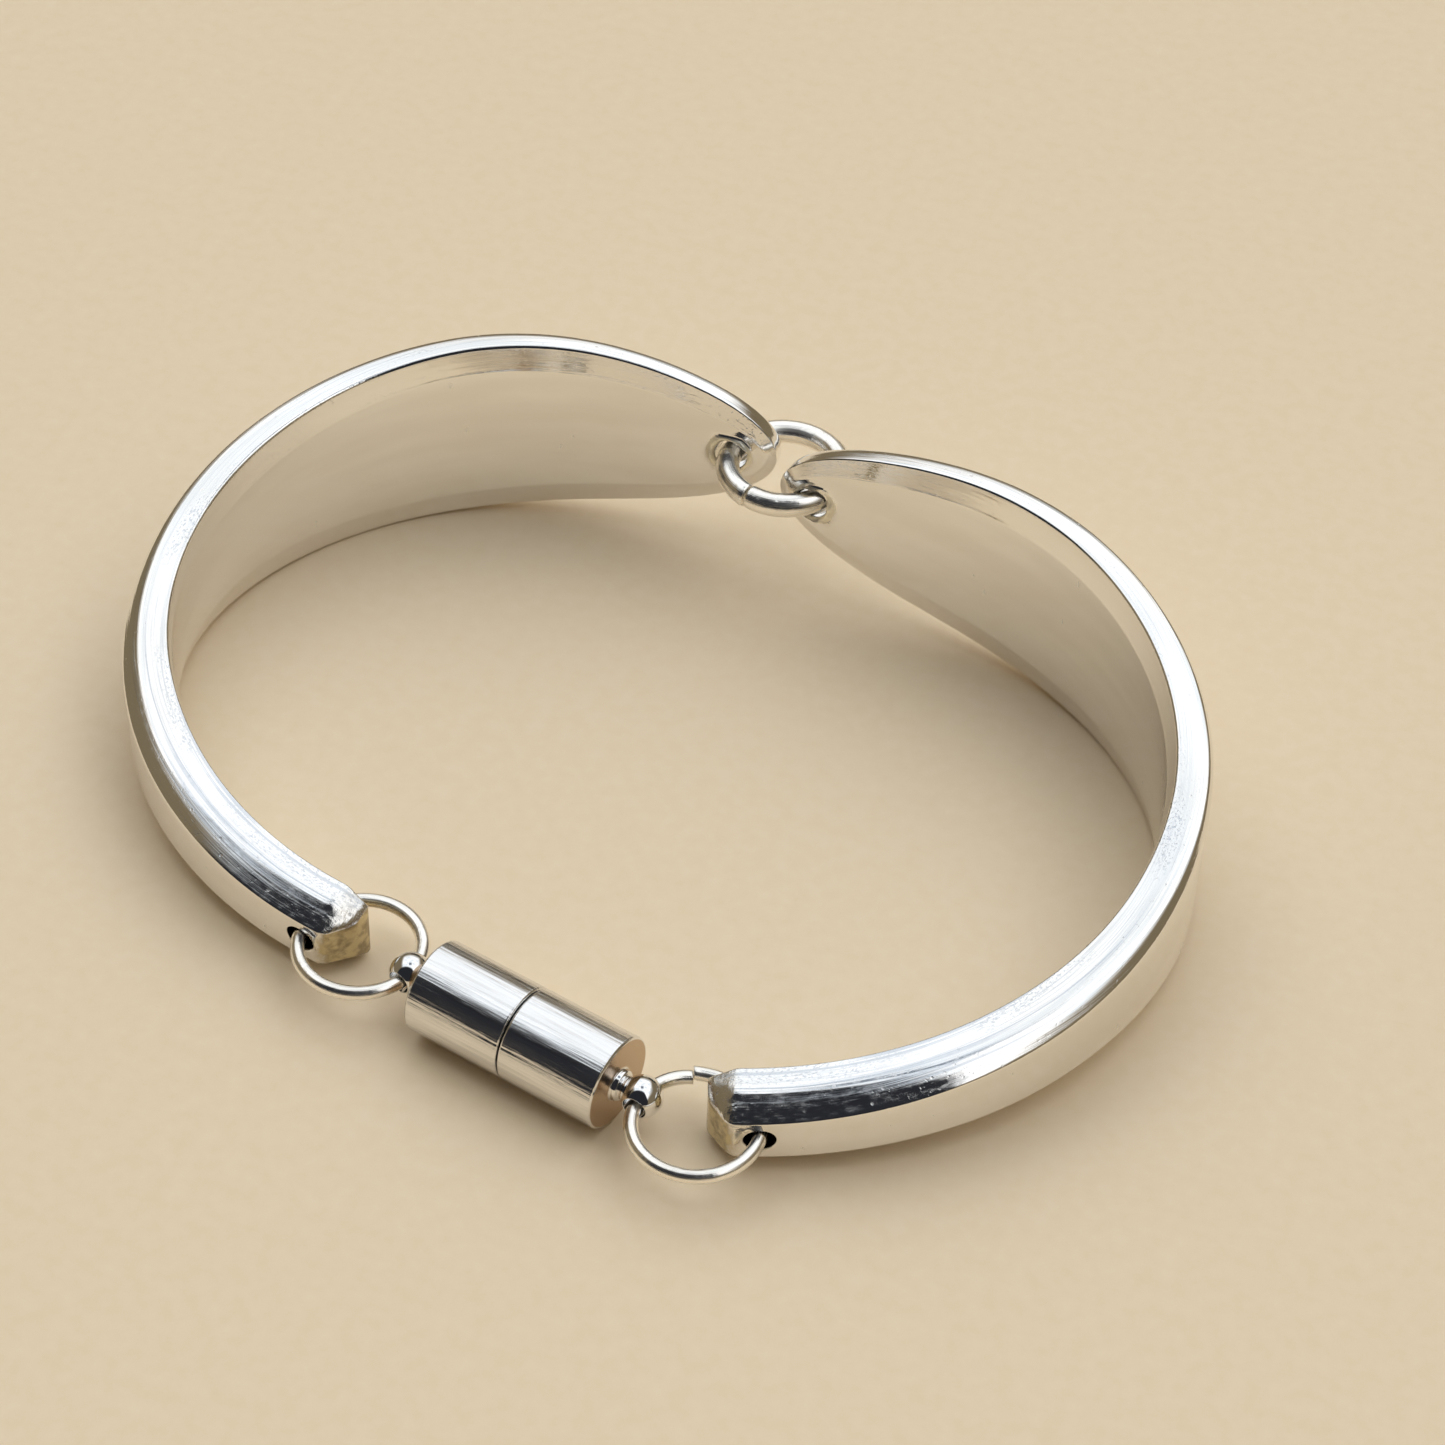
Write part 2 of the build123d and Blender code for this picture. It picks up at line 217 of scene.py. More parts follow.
# %% Light the floor and show a plain backdrop
PALE_BACKDROP = linear("#E9E2D6")
rays = add_node(net, "LightPath").outputs
room = add_node(net, "Mix", COLOUR, Factor=rays["Is Camera Ray"], _6=room, _7=PALE_BACKDROP)
light = add_node(net, "MapRange", Value=rays["Is Diffuse Ray"], To_Min=SKY_LIGHT, To_Max=FLOOR_LIGHT)
shown = add_node(net, "Background", Color=room, Strength=light)
add_node(net, "OutputWorld", Surface=shown)
print("the lens looks along", [round(v, 2) for v in -way(0, 44.5)])

# %% [markdown]
# ## The floor
#
# The bracelet lies flat on a plain pale sheet, warm like paper, so the faces
# that mirror it stay warm too. One square is enough, and its fine fibres are
# two near tones in the material.

# %% Lay the floor
FLOOR_REACH = 2.0  # from the middle to each side, in metres
corners = [(x * FLOOR_REACH, y * FLOOR_REACH, 0) for x, y in ((-1, -1), (1, -1), (1, 1), (-1, 1))]
floor_mesh = bpy.data.meshes.new("floor")
floor_mesh.from_pydata(corners, [], [(0, 1, 2, 3)])
floor = bpy.data.objects.new("floor", floor_mesh)
bpy.context.scene.collection.objects.link(floor)
paper, net = empty_material("matte paper")
place = add_node(net, "TexCoord").outputs["Object"]
fibres = add_node(net, "TexNoise", Vector=place, Scale=900.0, Detail=3.0)  # about 1 mm
tone = add_node(net, "Mix", COLOUR, Factor=fibres, _6=linear("#EBD5B2"), _7=linear("#F1DFC2"))
sheet = add_node(net, "BsdfPrincipled", Base_Color=tone, Roughness=0.7)
add_node(net, "OutputMaterial", Surface=sheet)
floor_mesh.materials.append(paper)
print("floor laid, sides of", 2 * FLOOR_REACH, "m")

# %% [markdown]
# ## Surfaces from arrays
#
# Each piece below is worked out with numpy as a table of points, and its faces
# join neighbours in the table. Beside its place, every point keeps where it
# would be if the piece were straight, in millimetres. The materials read that,
# so lines and scratches follow the bend of the metal as they do on the real
# bracelet, where they were made before or along the bend.

# %% Join neighbours in a table of points
def strip(table):
    """Quads between neighbouring rows and columns of a table of point numbers."""
    return np.stack(
        [table[:-1, :-1], table[1:, :-1], table[1:, 1:], table[:-1, 1:]], axis=-1
    ).reshape(-1, 4)


def ring_strip(table):
    """The same quads where the last column also joins the first."""
    return strip(np.concatenate([table, table[:, :1]], axis=1))


def end_caps(table, first_pole, last_pole):
    """Triangles that close the first and last row of a ring strip, each round one point."""
    first = np.stack([np.full(table.shape[1], first_pole), table[0], np.roll(table[0], -1)], axis=-1)
    last = np.stack([np.full(table.shape[1], last_pole), np.roll(table[-1], -1), table[-1]], axis=-1)
    return np.concatenate([first, last])


# %% Make a piece
def new_piece(name, points, unbent, quads, triangles=np.zeros((0, 3), int), drilled=0.0):
    """A smooth mesh from points in millimetres. Its volume, a sixth of the sum of the
    triple products of its triangles' corners, says whether its faces point outwards."""
    halves = np.concatenate([quads[:, [0, 1, 2]], quads[:, [0, 2, 3]], triangles])
    starts, stops = halves.ravel(), np.roll(halves, -1, axis=1).ravel()
    there, back = np.sort(starts * len(points) + stops), np.sort(stops * len(points) + starts)
    closed = np.array_equal(there, back) and len(np.unique(there)) == len(there)
    a, b, c = points[halves[:, 0]], points[halves[:, 1]], points[halves[:, 2]]
    volume = np.einsum("ij,ij->", a, np.cross(b, c)) / 6
    if volume < 0:
        quads, triangles = quads[:, ::-1], triangles[:, ::-1]
    mesh = bpy.data.meshes.new(name)
    mesh.from_pydata((points / 1000).tolist(), [], quads.tolist() + triangles.tolist())
    mesh.shade_smooth()
    straight = mesh.attributes.new("unbent", "FLOAT_VECTOR", "POINT")
    straight.data.foreach_set("vector", unbent.astype(np.float32).ravel())
    # The drilled mark tells the material where to paint shade inside the front holes
    in_hole = mesh.attributes.new("drilled", "FLOAT", "POINT")
    in_hole.data.foreach_set("value", np.full(len(points), drilled, np.float32))
    piece = bpy.data.objects.new(name, mesh)
    bpy.context.scene.collection.objects.link(piece)
    state = "closed" if closed else "OPEN"
    print(name, len(points), "points,", round(abs(volume), 1), "cubic mm,", state)
    return piece


# %% [markdown]
# ## The shape of a spoon handle
#
# A handle is a flat bar, narrow and thick where it met the bowl, wide and thin
# at its rounded tip. It was cut off and ground at the narrow end. We first
# work it out flat: s runs along it, w across it and t through it, outward from
# the wrist. Carving a block with modifiers would take many small steps, while
# a table of sizes along the handle says the same in a few rows.

# %% Sizes of the flat handle, in millimetres
HANDLE_LENGTH = 77.0
TIP_ROUNDING = 21.5
NARROW_WIDTH, WIDE_WIDTH = 4.9, 14.2
NARROW_THICKNESS, TIP_THICKNESS = 3.55, 1.8
GROUND_LENGTH = 1.6  # the facets ground at the narrow end
END_RELIEF = 0.4  # what they take off the inner face
TIP_START = HANDLE_LENGTH - TIP_ROUNDING
# Each row: share of the length, share of the way from the narrow end's value to the other end's
WIDTH_ROWS = np.array([
    (0.00, 0.00), (0.11, 0.04), (0.20, 0.06), (0.29, 0.14), (0.38, 0.32),
    (0.47, 0.58), (0.56, 0.79), (0.64, 0.93), (0.72, 1.00),
])
BORDER_ROWS = np.array([(0.11, 0.00), (0.20, 0.05), (0.29, 0.15), (0.38, 0.50), (0.47, 1.00)])
BEVEL_ROWS = np.array([
    (0.00, 0.00), (0.10, 0.02), (0.13, 0.15), (0.20, 0.50), (0.31, 0.50), (0.39, 0.74), (0.47, 1.00),
])
TAPER_ROWS = np.array([
    (0.00, 0.00), (0.22, 0.03), (0.33, 0.27), (0.47, 0.45), (1.00, 1.00), (1.20, 1.20),
])


# %% Smooth a table of sizes
SMOOTHED_OVER = 7.0


def smooth_rows(rows, s):
    """Straight lines between the rows, held level past their ends, and then for each s the mean
    over a stretch along s."""
    steps = np.linspace(-SMOOTHED_OVER / 2, SMOOTHED_OVER / 2, 15)
    share = (np.asarray(s)[..., None] + steps) / HANDLE_LENGTH
    return np.interp(share, rows[:, 0], rows[:, 1]).mean(axis=-1)


def width(s):
    """Full width across the bar before its tip is rounded."""
    return NARROW_WIDTH + smooth_rows(WIDTH_ROWS, s) * (WIDE_WIDTH - NARROW_WIDTH)


def thickness(s):
    """Thickness, full along the narrow part and thinner towards the tip."""
    return NARROW_THICKNESS + smooth_rows(TAPER_ROWS, s) * (TIP_THICKNESS - NARROW_THICKNESS)


def relief(s):
    """What the grinding takes off the inner face: a power of the share of the ground length left."""
    return END_RELIEF * np.clip(1 - s / GROUND_LENGTH, 0, 1) ** 1.3


print("width at the ends", width(np.array([0.0, TIP_START])).round(2))

# %% [markdown]
# ## Levels round the edge
#
# Seen from its inner face, the bar has a raised flat, a sloping border, an
# upright edge, a shoulder, a bevel and the outer face. Each corner between
# them runs all the way round the bar as one closed line, like a contour on a
# map. The table gives how far each contour stands in from the bar's outline,
# and how deep it lies below the inner face, or, where negative, below the
# outer one. The first rows follow the border's table and the last ones the
# bevel's.

# %% The contours, in millimetres
CONTOURS = np.array([
    # in from: the side at the narrow end, the side on the wide part, the tip, the ground end;
    # half height at the ground end; depth at the ground end, on the narrow bar, on the wide part;
    # softening of the corner
    (0.34, 2.40, 1.25, 0.52, 1.60, 0.00, 0.00, 0.00, 0.00),  # inner face
    (0.17, 1.92, 0.74, 0.34, 1.74, 0.00, 0.00, 0.00, 0.12),  # crease
    (0.13, 1.68, 0.58, 0.26, 1.80, 0.02, 0.02, 0.06, 0.12),  # foot of the border
    (0.00, 0.00, 0.00, 0.00, 1.92, 0.44, 0.10, 0.42, 0.22),  # inner corner
    (0.00, 0.00, 0.00, 0.00, 1.94, -2.75, -2.05, -1.20, 0.20),  # shoulder
    (0.09, 0.03, 0.02, 0.16, 1.42, -1.80, -1.64, -0.64, 0.50),  # top of the bevel
    (0.54, 0.13, 0.11, 0.72, 1.36, -1.03, -0.84, -0.25, 0.40),  # middle of the bevel
    (1.05, 0.56, 0.48, 1.32, 1.30, -0.22, -0.001, -0.001, 0.16),  # edge of the outer face
    (1.30, 1.15, 1.00, 1.66, 1.10, 0.0, -0.001, -0.001, 0.00),  # outer face
])
FIRST_OUTER = 4
print("contours", len(CONTOURS))


# %% Draw the bar's outline at one contour
def contour_points(along, across, level):
    """Points of a contour's own outline, filled: along runs 0 to 1 on the bar and 1 to 2 on
    the tip, across -1 to 1. On the bar, w is across times the half width. The tip is half an
    ellipse, and a square grid a, c fits into it as a sqrt(1 - c^2/2) and c sqrt(1 - a^2/2)."""
    side_narrow, side_wide, tip, end, end_half, depth_end, depth_narrow, depth_wide, _ = CONTOURS[level]
    bar = np.clip(along, 0, 1)
    round_part = np.clip(along - 1, 0, 1)
    s = end + (TIP_START - end) * bar
    s = s + (TIP_ROUNDING - tip) * round_part * np.sqrt(1 - across**2 / 2)
    change = smooth_rows(BORDER_ROWS if level < FIRST_OUTER else BEVEL_ROWS, s)
    half = width(np.minimum(s, TIP_START)) / 2 - side_narrow - change * (side_wide - side_narrow)
    ground = np.clip((s - end) / max(GROUND_LENGTH - end, 1e-6), 0, 1)
    half = np.where(s < GROUND_LENGTH, np.minimum(half, end_half + ground * (half - end_half)), half)
    w = half * across * np.sqrt(1 - round_part**2 / 2)
    depth = depth_narrow + change * (depth_wide - depth_narrow)
    at_end = depth_end
    if level >= FIRST_OUTER:
        depth, at_end = depth + thickness(s), at_end + NARROW_THICKNESS
    depth = np.where(s < GROUND_LENGTH, at_end + ground * (depth - at_end), depth)
    if level < FIRST_OUTER - 1:
        depth = depth + relief(s)
    return np.stack([s, w, depth], axis=-1)


# %% Round the corners between the contours
def soften(lines, cuts):
    """Each corner point P between neighbours becomes the curve (1-q)^2 A + 2q(1-q) P + q^2 B,
    where A and B lie a cut away on the two sides, and one more row on each side holds the
    flats flat."""
    rows = [lines[0]]
    for before, corner, after, cut in zip(lines, lines[1:], lines[2:], cuts):
        back, on = before - corner, after - corner
        back_length = np.linalg.norm(back, axis=-1, keepdims=True)
        on_length = np.linalg.norm(on, axis=-1, keepdims=True)
        reach = np.minimum(cut, 0.35 * np.minimum(back_length, on_length))
        a = corner + back / back_length * reach
        b = corner + on / on_length * reach
        rows.append(corner + back / back_length * reach * 1.3)
        for q in (0.0, 0.25, 0.5, 0.75, 1.0):
            rows.append((1 - q) ** 2 * a + 2 * q * (1 - q) * corner + q**2 * b)
        rows.append(corner + on / on_length * reach * 1.3)
    rows.append(lines[-1])
    return np.stack(rows)


# %% [markdown]
# ## The bend
#
# The smith bent each handle round a mandrel, a little more in the middle than
# near the tip. A curve with seven turns, one for each seventh of the length,
# follows the photograph, and a running mean smooths the steps between them.
# An armature or a Curve modifier could bend the bar too, but the sum of many
# small turns is just as short and keeps the exact sizes.

# %% Turns of the two handles, in degrees for each seventh
LEFT_TURNS = (26.8, 24.0, 36.5, 29.7, 28.2, 28.3, 4.2)
RIGHT_TURNS = (25.1, 23.7, 29.2, 33.0, 27.6, 25.9, -0.2)
TURNED_OVER = 8.0  # the stretch that the turning is averaged over
LOW_MIDDLE, HIGH_MIDDLE, REST_AT = 2.45, 6.7745, 0.64 * HANDLE_LENGTH
HOLE_INSET = 3.0  # from either end
HOLES_AT = np.array([HANDLE_LENGTH - HOLE_INSET, HOLE_INSET])
RING_RADIUS = 3.8  # of all three rings, to the middle of the wire


def middle_height(s):
    """Height of the bar's middle line, which climbs evenly from the narrow end to the wide part."""
    return LOW_MIDDLE + s / REST_AT * (HIGH_MIDDLE - LOW_MIDDLE)


# %% Bend a flat point
class Bend:
    """The plan of one bent handle. The heading at s is the sum of the turns so far, averaged
    over 8 mm, and x and y are the sums of the heading's cosine and sine. The plan is then turned
    and, by a few thousandths, stretched, until its two holes lie where the solid's do."""

    def __init__(self, turns, side, holes):
        self.s = np.linspace(-6, HANDLE_LENGTH + 6, 1781)
        # The first and the last turn go on for one more seventh past the ends
        knots = np.arange(-1, len(turns) + 2) * HANDLE_LENGTH / len(turns)
        total = np.cumsum((-turns[0], turns[0], *turns, turns[-1]))
        window = np.linspace(-TURNED_OVER / 2, TURNED_OVER / 2, 41)
        self.heading = np.radians(np.interp(self.s[:, None] + window, knots, total).mean(axis=1))
        step = self.s[1] - self.s[0]
        middle = (self.heading[1:] + self.heading[:-1]) / 2
        self.x = np.concatenate([[0], np.cumsum(np.cos(middle) * step)]) * side
        self.y = np.concatenate([[0], np.cumsum(np.sin(middle) * step)])
        self.side, self.turn, self.shift = side, 0.0, np.zeros(2)
        start = self.plan(HOLES_AT, thickness(HOLES_AT) / 2)
        now, wanted = start[1] - start[0], holes[1] - holes[0]
        self.turn = math.atan2(wanted[1], wanted[0]) - math.atan2(now[1], now[0])
        stretch = np.linalg.norm(wanted) / np.linalg.norm(now)
        self.x, self.y = self.x * stretch, self.y * stretch
        self.shift = (holes - self.plan(HOLES_AT, thickness(HOLES_AT) / 2)).mean(axis=0)
        print("bend turned", round(math.degrees(self.turn), 3), "degrees, stretched", round(stretch, 4))

    def turned(self, vectors):
        """Vectors in plan, turned by the bend's own turn."""
        c, n = math.cos(self.turn), math.sin(self.turn)
        return vectors @ np.array([[c, n], [-n, c]])

    def plan(self, s, t):
        """Where a point at s and t lies in plan: on the bent middle line, and t outward from it."""
        line = np.stack([np.interp(s, self.s, self.x), np.interp(s, self.s, self.y)], axis=-1)
        heading = np.interp(s, self.s, self.heading)
        outward = np.stack([np.sin(heading) * self.side, -np.cos(heading)], axis=-1)
        return self.turned(line) + self.shift + self.turned(outward) * np.asarray(t)[..., None]

    def place(self, flat):
        """Flat points s, w, t bent to the wrist, so that both ends rest on the floor."""
        s, w, t = flat[..., 0], flat[..., 1], flat[..., 2]
        return np.concatenate([self.plan(s, t), (middle_height(s) + w)[..., None]], axis=-1)

    def wire_crossing(self, centre, height, near, t):
        """Where a ring's wire crosses depth t of the flat bar, near s: the place where the
        distance from the ring's middle is the ring's radius."""
        s = np.linspace(near - 2.5, near + 2.5, 501)
        distance = np.linalg.norm(self.plan(s, np.full(s.shape, t)) - np.array(centre), axis=-1)
        at = s[np.argmin(np.abs(distance - RING_RADIUS))]
        return np.array([at, height - middle_height(near), t])


# %% [markdown]
# ## The drilled holes
#
# Each handle has two drilled holes. A Boolean would cut them, but on polished
# metal its torn faces show in the mirror. So a window of the face's grid is
# left out, and rings of points lead from the window's edge to the round hole.
# Round the back holes the drill pushed up a rough lip on the inner face, which
# is drawn as a low uneven wall round the hole.

# %% Where the rings and the holes lie, in millimetres
def middle_of(*nodes):
    """The middle of the box round some of the solids."""
    corners = np.array([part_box(node) for node in nodes]) * 1000
    return (corners[:, 0].min(axis=0) + corners[:, 1].max(axis=0)) / 2


BACK_RING, LEFT_RING, RIGHT_RING = map(middle_of, ("back_ring", "jump_ring_left", "jump_ring_right"))
# In plan, the back hole and then the front one
LEFT_HOLES = np.array([(-3.013, 26.242), (-14.920, -18.194)])
RIGHT_HOLES = np.array([(4.011, 23.440), (15.597, -23.496)])
FRONT_HOLE_HEIGHT = 2.74  # a little under the middle of the ring
BACK_HOLE_RADIUS, FRONT_HOLE_RADIUS = 1.16, 0.84
print("middle of the back ring", BACK_RING.round(3))

# %% What the drill raised
LIP_HEIGHT, LIP_AT, LIP_SPREAD = 0.42, 0.22, 0.26
BURR_HEIGHT, BURR_AT, BURR_SPREAD = 0.36, 0.45, 0.27
BURR_SIDE, BURR_SPAN = 2.85, 0.45  # in radians round the hole, from the side of the tip


def lip(angles, distance, height, seed):
    """Height of a rough lip round a hole: a bump over the distance from its edge, made uneven
    by a few waves round the hole that lean with the distance."""
    random = np.random.default_rng(seed)
    waves = sum(
        random.uniform(0.4, 0.8) / k**0.7 * np.cos(k * angles + random.uniform(0, 6.3) + 4 * distance)
        for k in (1, 2, 3, 5, 7)
    )
    bump = np.exp(-((distance - LIP_AT) / LIP_SPREAD) ** 2)
    return height * np.clip(0.75 + 0.65 * waves, 0.05, 1.9) * bump


def burr(angles, distance):
    """Height of the small lump that the drill left on the side of a hole towards the ground end:
    a bump over the angle times a bump over the distance."""
    side = np.exp(-((np.mod(angles, 2 * math.pi) - BURR_SIDE) / BURR_SPAN) ** 2)
    return BURR_HEIGHT * side * np.exp(-((distance - BURR_AT) / BURR_SPREAD) ** 2)


def depth_near_hole(s, angles, distance, is_inner, is_back, seed):
    """Depth of a face near a hole: the face's own, with the lip or the lump standing up from it."""
    if is_inner:
        return relief(s) - (lip(angles, distance, LIP_HEIGHT, seed) if is_back else 0)
    if is_back:
        return thickness(s) + lip(angles, distance, LIP_HEIGHT / 4, seed + 1)
    return thickness(s) + burr(angles, distance)


# %% Rows of points through a hole
HOLE_SHARES = np.array([0.2, 0.4, 0.58, 0.73, 0.85, 0.93, 0.98, 1.0])
WALL_SHARES = np.array([0.03, 0.08, 0.3, 0.7, 0.92, 0.97])
RIM_ROUNDING = 0.05  # the rims on the faces are this much wider than the hole


def window_edge(table, first, last, low, high):
    """The point numbers round a window of a table, in order."""
    return np.concatenate([
        table[first:last, low], table[last, low:high],
        table[last:first:-1, high], table[first, high:low:-1],
    ])


def drilled_hole(inner, outer, centres, radius, is_back, seed):
    """Rows from a window's edge in the inner face to the hole, through it, and out to the edge in
    the outer face. A row on a face lies at edge + share (circle - edge). The wall's middle line
    follows the ring's arc: (1-q) first + q last + 4q(1-q) times the arc's bulge halfway."""
    first, halfway, last = centres
    angles = np.arctan2(outer[:, 1] - last[1], outer[:, 0] - last[0])
    spoke = np.stack([np.cos(angles), np.sin(angles)], axis=-1)
    faces = []
    for edge, centre in ((inner, first), (outer, last)):
        circle = centre[:2] + (radius + RIM_ROUNDING) * spoke
        rows = edge[:, :2] + HOLE_SHARES[:, None, None] * (circle - edge[:, :2])
        distance = np.linalg.norm(rows - centre[:2], axis=-1) - radius
        depth = depth_near_hole(rows[..., 0], angles, distance, edge is inner, is_back, seed)
        faces.append(np.dstack([rows, depth]))
    q = WALL_SHARES[:, None, None]
    line = (1 - q) * first + q * last + 4 * q * (1 - q) * (halfway - (first + last) / 2)
    depth = (1 - q[..., 0]) * faces[0][-1, :, 2] + q[..., 0] * faces[1][-1, :, 2]
    wall = np.dstack([line[..., :2] + radius * spoke, depth])
    return np.concatenate([faces[0], wall, faces[1][::-1]])


# %% Keep the rings free
BACK_WIRE_REACH, FRONT_WIRE_REACH = 0.86, 0.56  # what stays clear round the middle of each wire


def clear_of_wire(points, ring, reach):
    """Points that lie nearer to the middle of a ring's wire than the reach are moved straight
    away from it, out to the reach, so that no torn lip cuts into the ring."""
    outward = points[:, :2] - ring[:2]
    out = np.linalg.norm(outward, axis=1)
    beside, above = out - RING_RADIUS, points[:, 2] - ring[2]
    grow = np.maximum(reach / np.maximum(np.hypot(beside, above), 1e-6), 1)
    level = ring[:2] + outward * ((RING_RADIUS + beside * grow) / out)[:, None]
    return np.column_stack([level, ring[2] + above * grow])


# %% [markdown]
# ## Build a handle
#
# The inner and the outer face are grids, the edge between them is the
# softened contours, and the holes join the two faces. All of it is worked out
# flat and bent at the end, so both handles come from the same few lines.

# %% Rows along and across the bar
FRONT_ROWS = 0.068  # the front window ends here, and the back window lies between the next two
BACK_ROWS = 1.795, 1.985
BACK_COLUMNS = 0.4
ALONG = np.concatenate([
    np.linspace(0, FRONT_ROWS, 11)[:-1], np.linspace(FRONT_ROWS, 1, 92)[:-1],
    np.linspace(1, BACK_ROWS[0], 26)[:-1], np.linspace(*BACK_ROWS, 13), [2.0],
])
ACROSS = np.concatenate([
    np.linspace(-1, -BACK_COLUMNS, 8)[:-1], np.linspace(-BACK_COLUMNS, BACK_COLUMNS, 13),
    np.linspace(BACK_COLUMNS, 1, 8)[1:],
])
# A window is its first and last row, and its first and last column
FRONT_WINDOW = (0, 10, 0, len(ACROSS) - 1)
BACK_WINDOW = (len(ALONG) - 14, len(ALONG) - 2, 7, 19)
print(len(ALONG), "rows along,", len(ACROSS), "across")


# %% Build one handle
def spoon_handle(name, bend, front_ring, seed):
    """Both faces, the rounded edge between them and the two drilled holes, bent in place."""
    along, across = np.meshgrid(ALONG, ACROSS, indexing="ij")
    inner, outer = (contour_points(along, across, level) for level in (0, len(CONTOURS) - 1))
    table = np.arange(along.size).reshape(along.shape)
    edge = window_edge(table, 0, len(ALONG) - 1, 0, len(ACROSS) - 1)
    at_edge = along.ravel()[edge], across.ravel()[edge]
    rim = soften([contour_points(*at_edge, level) for level in range(len(CONTOURS))], CONTOURS[1:-1, -1])
    flats = [inner.reshape(-1, 3), outer.reshape(-1, 3), rim[1:-1].reshape(-1, 3)]
    numbers = np.arange(len(flats[2])).reshape(-1, len(edge)) + 2 * table.size
    quads = [ring_strip(np.concatenate([edge[None], numbers, edge[None] + table.size]))[:, ::-1]]
    keep = np.ones((len(ALONG) - 1, len(ACROSS) - 1), bool)
    for window, ring, height, radius, s, is_back in (
        (BACK_WINDOW, BACK_RING, BACK_RING[2], BACK_HOLE_RADIUS, HOLES_AT[0], True),
        (FRONT_WINDOW, front_ring, FRONT_HOLE_HEIGHT, FRONT_HOLE_RADIUS, HOLES_AT[1], False),
    ):
        first, last, low, high = window
        keep[first:last, low:high] = False
        edge = window_edge(table, *window)
        depths = (0.0, thickness(s) / 2, thickness(s))
        centres = [bend.wire_crossing(ring[:2], height, s, t) for t in depths]
        rows = drilled_hole(flats[0][edge], flats[1][edge], centres, radius, is_back, seed)
        numbers = np.arange(rows[..., 0].size).reshape(rows.shape[:2]) + sum(map(len, flats))
        flats.append(rows.reshape(-1, 3))
        quads.append(ring_strip(np.concatenate([edge[None], numbers, edge[None] + table.size])))
    face_quads = strip(table).reshape(*keep.shape, 4)[keep]
    quads = np.concatenate([*quads, face_quads[:, ::-1], face_quads + table.size])
    flat = np.concatenate(flats)
    # The front hole's wall is marked for the painted shade that the material puts inside it
    front_wall = numbers[len(HOLE_SHARES):-len(HOLE_SHARES)]
    drilled = np.zeros(len(flat))
    drilled[front_wall.ravel()] = 1
    used = np.zeros(len(flat), bool)
    used[quads.ravel()] = True
    renumber = np.cumsum(used) - 1
    placed = bend.place(flat)[used]
    placed = clear_of_wire(placed, BACK_RING, BACK_WIRE_REACH)
    placed = clear_of_wire(placed, front_ring, FRONT_WIRE_REACH)
    return new_piece(name, placed, flat[used], renumber[quads], drilled=drilled[used])


# %% Bend the two handles
left_bend, right_bend = Bend(LEFT_TURNS, -1, LEFT_HOLES), Bend(RIGHT_TURNS, 1, RIGHT_HOLES)
handle_left = spoon_handle("left_spoon_handle", left_bend, LEFT_RING, seed=3)
handle_right = spoon_handle("right_spoon_handle", right_bend, RIGHT_RING, seed=8)

# %% [markdown]
# ## The rings
#
# A ring is a round wire bent to a circle, with a fine cut where it was
# twisted open and closed again. The two ends never meet quite true, so each
# drifts a little up or down towards the cut. The surface is a circle carried
# along the wire, closed at each end by a point in the middle of the cut face.

# %% Make a cut ring of round wire
DRIFT_FADE = 26.0  # the power over one turn that the drift fades by
DRIFT_OUT = 0.4  # the share of it that also goes outward
CUT_ROWS = np.array([
    # distance from the cut in thicknesses of the wire, share of its full thickness
    (0.00, 0.60), (0.00, 0.88), (0.02, 0.96), (0.08, 1.00),
])


def wire_ring(name, middle, wire, cut, angle, drift):
    """x and y are the middle plus (radius + wire/2 cos v) times the cosine and sine of u, and z is
    wire/2 sin v, with u round the ring from one side of the cut to the other and v round the wire."""
    start, whole = cut / RING_RADIUS / 2, 2 * math.pi
    rim = start + CUT_ROWS[:, 0] * wire / RING_RADIUS
    plain = start + 0.2 * wire / RING_RADIUS
    u = np.concatenate([rim, np.linspace(plain, whole - plain, 181), whole - rim[::-1]])
    size = np.full(len(u), wire / 2)
    size[:len(rim)] *= CUT_ROWS[:, 1]
    size[-len(rim):] *= CUT_ROWS[::-1, 1]
    near = np.exp(-u / whole * DRIFT_FADE) - np.exp(-(1 - u / whole) * DRIFT_FADE)
    moved = drift * near[:, None]
    uu, vv = np.meshgrid(u + math.radians(angle), np.linspace(0, whole, 33)[:-1], indexing="ij")
    across, up = size[:, None] * np.cos(vv), size[:, None] * np.sin(vv)
    out = RING_RADIUS + across + DRIFT_OUT * moved
    points = np.stack([out * np.cos(uu), out * np.sin(uu), up + moved], axis=-1) + middle
    straight = np.stack([uu * RING_RADIUS, across, up], axis=-1)
    points, straight = (
        np.concatenate([rows.reshape(-1, 3), rows[[0, -1]].mean(axis=1)]) for rows in (points, straight)
    )
    table = np.arange(uu.size).reshape(uu.shape)
    return new_piece(name, points, straight, ring_strip(table), end_caps(table, uu.size, uu.size + 1))


# %% Bend the three rings
CLASP_TURN = -14.393  # degrees from the X axis to the clasp's axis
BACK_WIRE, JUMP_WIRE = 1.6, 0.893
back_ring = wire_ring("back_ring_wire", BACK_RING, BACK_WIRE, cut=0.20, angle=-110.0, drift=0.08)
jump_ring_left = wire_ring(
    "left_jump_ring_wire", LEFT_RING, JUMP_WIRE, cut=0.10, angle=CLASP_TURN + 134, drift=0.0,
)
jump_ring_right = wire_ring(
    "right_jump_ring_wire", RIGHT_RING, JUMP_WIRE, cut=0.03, angle=CLASP_TURN + 126, drift=-0.15,
)

